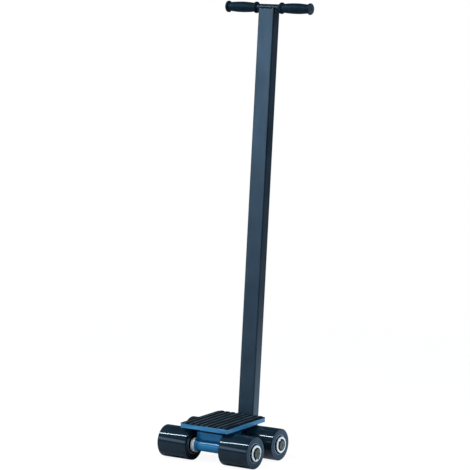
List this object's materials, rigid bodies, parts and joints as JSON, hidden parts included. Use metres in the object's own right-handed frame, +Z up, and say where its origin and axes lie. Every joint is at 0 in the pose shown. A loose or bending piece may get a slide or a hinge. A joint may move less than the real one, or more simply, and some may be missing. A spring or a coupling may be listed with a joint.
{
  "type": "machinery skate",
  "caption": "Steerable load-moving skate: nylon rollers on axles in a welded blue frame, a swivelling load plate with a ribbed rubber top, and a long folding drawbar with a grip crossbar.",
  "frame": {"origin": "on the floor, under the middle of the bounding box", "axes": "+Z up; +X along the axles, to the right as seen from the load end; +Y from the load end towards the drawbar"},
  "size_m": [0.299, 0.341, 1.2014],
  "materials": {
    "nylon": "satin black cast nylon with turned end faces",
    "blue_paint": "mid-blue stove enamel over welded steel plate, semi-gloss",
    "black_paint": "blue-black satin powder coat",
    "zinc": "bright zinc plate over turned steel",
    "axle_steel": "ground bar steel with a saw-cut, faced end",
    "bearing_steel": "ground bearing steel",
    "dark_steel": "phosphated spring steel, oiled",
    "bronze": "sintered bronze, oil-filled",
    "pad_rubber": "matt black ribbed rubber matting",
    "grip_rubber": "moulded black PVC, fine stipple"
  },
  "bodies": {
    "frame": {"axle_front": "axle_steel", "axle_tube_front": "blue_paint", "cross_plate_front": "blue_paint", "bearing_inner_ring_inboard_front_left": "bearing_steel", "bearing_inner_ring_outboard_front_left": "bearing_steel", "inner_collar_front_left": "zinc", "outer_collar_front_left": "zinc", "circlip_front_left": "dark_steel", "bearing_inner_ring_inboard_front_right": "bearing_steel", "bearing_inner_ring_outboard_front_right": "bearing_steel", "inner_collar_front_right": "zinc", "outer_collar_front_right": "zinc", "circlip_front_right": "dark_steel", "axle_rear": "axle_steel", "axle_tube_rear": "blue_paint", "cross_plate_rear": "blue_paint", "bearing_inner_ring_inboard_rear_left": "bearing_steel", "bearing_inner_ring_outboard_rear_left": "bearing_steel", "inner_collar_rear_left": "zinc", "outer_collar_rear_left": "zinc", "circlip_rear_left": "dark_steel", "bearing_inner_ring_inboard_rear_right": "bearing_steel", "bearing_inner_ring_outboard_rear_right": "bearing_steel", "inner_collar_rear_right": "zinc", "outer_collar_rear_right": "zinc", "circlip_rear_right": "dark_steel", "side_plate_left": "blue_paint", "friction_washer_left": "bronze", "side_plate_right": "blue_paint", "friction_washer_right": "bronze", "bolster_plate": "blue_paint", "king_boss": "blue_paint", "king_bush": "bronze", "drawbar_stop_bar": "blue_paint", "turntable_lower_race": "dark_steel", "drawbar_pivot_bolt": "zinc", "drawbar_pivot_nut": "zinc"},
    "roller_set_front_left": {"roller_front_left": "nylon", "bearing_outer_ring_inboard_front_left": "bearing_steel", "bearing_outer_ring_outboard_front_left": "bearing_steel"},
    "roller_set_front_right": {"roller_front_right": "nylon", "bearing_outer_ring_inboard_front_right": "bearing_steel", "bearing_outer_ring_outboard_front_right": "bearing_steel"},
    "roller_set_rear_left": {"roller_rear_left": "nylon", "bearing_outer_ring_inboard_rear_left": "bearing_steel", "bearing_outer_ring_outboard_rear_left": "bearing_steel"},
    "roller_set_rear_right": {"roller_rear_right": "nylon", "bearing_outer_ring_inboard_rear_right": "bearing_steel", "bearing_outer_ring_outboard_rear_right": "bearing_steel"},
    "ball_cage": {"turntable_ball_cage": "bearing_steel"},
    "platform": {"load_plate": "blue_paint", "rubber_pad": "pad_rubber", "king_pin": "axle_steel", "king_pin_circlip": "dark_steel", "turntable_upper_race": "dark_steel"},
    "drawbar": {"drawbar_tube": "black_paint", "drawbar_pivot_sleeve": "axle_steel", "crossbar": "black_paint", "grip_left": "grip_rubber", "grip_right": "grip_rubber"}
  },
  "joints": [
    {"name": "roller_front_left_spin", "type": "hinge", "parent": "frame", "child": "roller_set_front_left", "pos_m": [0, -0.12798, 0.0425], "axis": [1, 0, 0], "continuous": true},
    {"name": "roller_front_right_spin", "type": "hinge", "parent": "frame", "child": "roller_set_front_right", "pos_m": [0, -0.12798, 0.0425], "axis": [1, 0, 0], "continuous": true},
    {"name": "roller_rear_left_spin", "type": "hinge", "parent": "frame", "child": "roller_set_rear_left", "pos_m": [0, -0.00798, 0.0425], "axis": [1, 0, 0], "continuous": true},
    {"name": "roller_rear_right_spin", "type": "hinge", "parent": "frame", "child": "roller_set_rear_right", "pos_m": [0, -0.00798, 0.0425], "axis": [1, 0, 0], "continuous": true},
    {"name": "platform_swivel", "type": "hinge", "parent": "frame", "child": "platform", "pos_m": [0, -0.06798, 0.09], "axis": [0, 0, 1], "range_deg": [-18, 18]},
    {"name": "ball_cage_turn", "type": "hinge", "parent": "frame", "child": "ball_cage", "pos_m": [0, -0.06798, 0.0841], "axis": [0, 0, 1], "range_deg": [-9, 9]},
    {"name": "drawbar_fold", "type": "hinge", "parent": "frame", "child": "drawbar", "pos_m": [0, 0.04902, 0.045], "axis": [-1, 0, 0], "range_deg": [0, 85]}
  ],
  "couplings": [
    {"joint": "ball_cage_turn", "follows": "platform_swivel", "ratio": 0.5}
  ]
}
